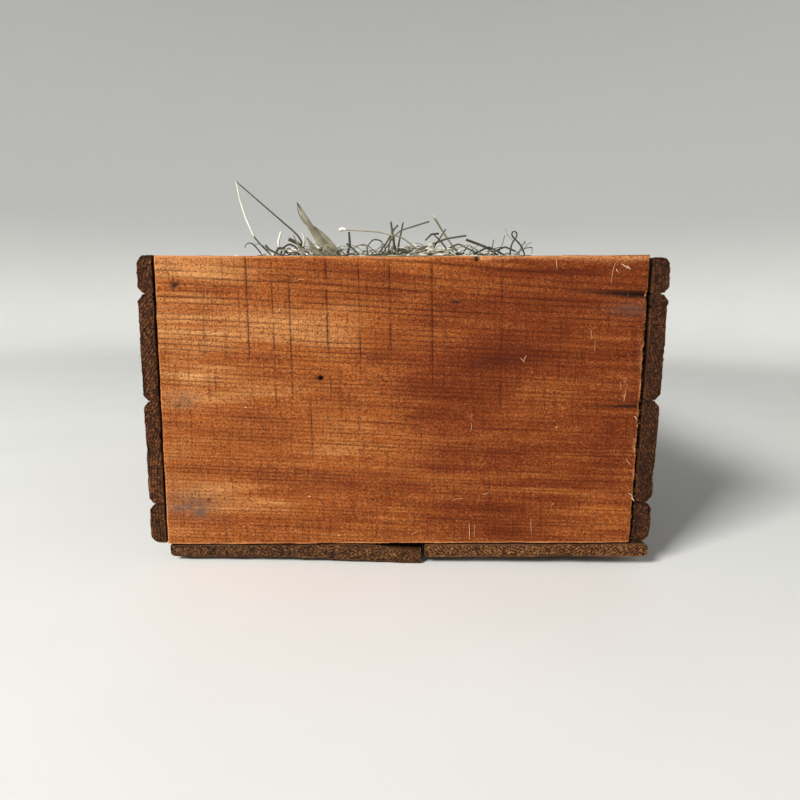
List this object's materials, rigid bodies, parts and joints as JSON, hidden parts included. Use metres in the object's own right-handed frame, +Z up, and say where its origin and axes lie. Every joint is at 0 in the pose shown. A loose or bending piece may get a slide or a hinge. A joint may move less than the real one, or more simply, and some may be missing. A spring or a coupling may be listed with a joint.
{
  "type": "insect hotel",
  "caption": "Insect hotel in an old nailed wooden crate lying on its back: hay, hollow canes, fir cones and drilled logs in partitioned rooms behind sawn end boards.",
  "frame": {"origin": "middle of the crate's footprint, at the height of its lowest edge", "axes": "+Z up, out of the crate's open front; +Y along the crate, away from the near end panel; +X across it to the right, seen from the near end"},
  "size_m": [0.3282, 0.41, 0.2477],
  "materials": {
    "end_board": "rough-sawn softwood, red-brown with age, saw marks left on",
    "side_board": "dark weathered softwood, dry end grain",
    "bottom_board": "dark weathered softwood, dry end grain",
    "partition_board": "plain sawn softwood, bare",
    "nail_iron": "rusted iron wire nails, matt",
    "hay": "loose dried grass, matt",
    "hay_stem": "dried grass stem, matt",
    "bamboo": "dried bamboo, soft sheen",
    "pithy_stem": "dry bark round a pale soft pith",
    "fir_cone": "dry woody scales, matt",
    "log": "bare end grain with the bark left on",
    "bark": "rough dry bark"
  },
  "bodies": {
    "root": {"bamboo_cane_1": "bamboo", "bamboo_cane_10": "bamboo", "bamboo_cane_2": "bamboo", "bamboo_cane_3": "bamboo", "bamboo_cane_4": "bamboo", "bamboo_cane_5": "bamboo", "bamboo_cane_6": "bamboo", "bamboo_cane_7": "bamboo", "bamboo_cane_8": "bamboo", "bamboo_cane_9": "bamboo", "bark_strip_1": "bark", "bark_strip_2": "bark", "bark_strip_3": "bark", "bark_strip_4": "bark", "bent_hay_stalk": "hay_stem", "bottom_nails": "nail_iron", "divider_nails": "nail_iron", "drilled_log_left": "log", "drilled_log_middle": "log", "drilled_log_right": "log", "far_end_panel": "end_board", "far_partition": "partition_board", "fir_cone_1": "fir_cone", "fir_cone_10": "fir_cone", "fir_cone_11": "fir_cone", "fir_cone_12": "fir_cone", "fir_cone_13": "fir_cone", "fir_cone_14": "fir_cone", "fir_cone_2": "fir_cone", "fir_cone_3": "fir_cone", "fir_cone_4": "fir_cone", "fir_cone_5": "fir_cone", "fir_cone_6": "fir_cone", "fir_cone_7": "fir_cone", "fir_cone_8": "fir_cone", "fir_cone_9": "fir_cone", "hay_bed": "hay", "hay_leaf_blades": "hay_stem", "left_bottom_board": "bottom_board", "left_foot_strip": "side_board", "left_lower_board": "side_board", "left_rim_strip": "side_board", "left_upper_board": "side_board", "near_end_panel": "end_board", "near_partition": "partition_board", "partition_nails": "nail_iron", "pithy_stems": "pithy_stem", "right_bottom_board": "bottom_board", "right_foot_strip": "side_board", "right_lower_board": "side_board", "right_rim_strip": "side_board", "right_upper_board": "side_board", "room_divider": "partition_board", "side_nails": "nail_iron", "upright_hay_stems": "hay_stem"}
  },
  "joints": []
}
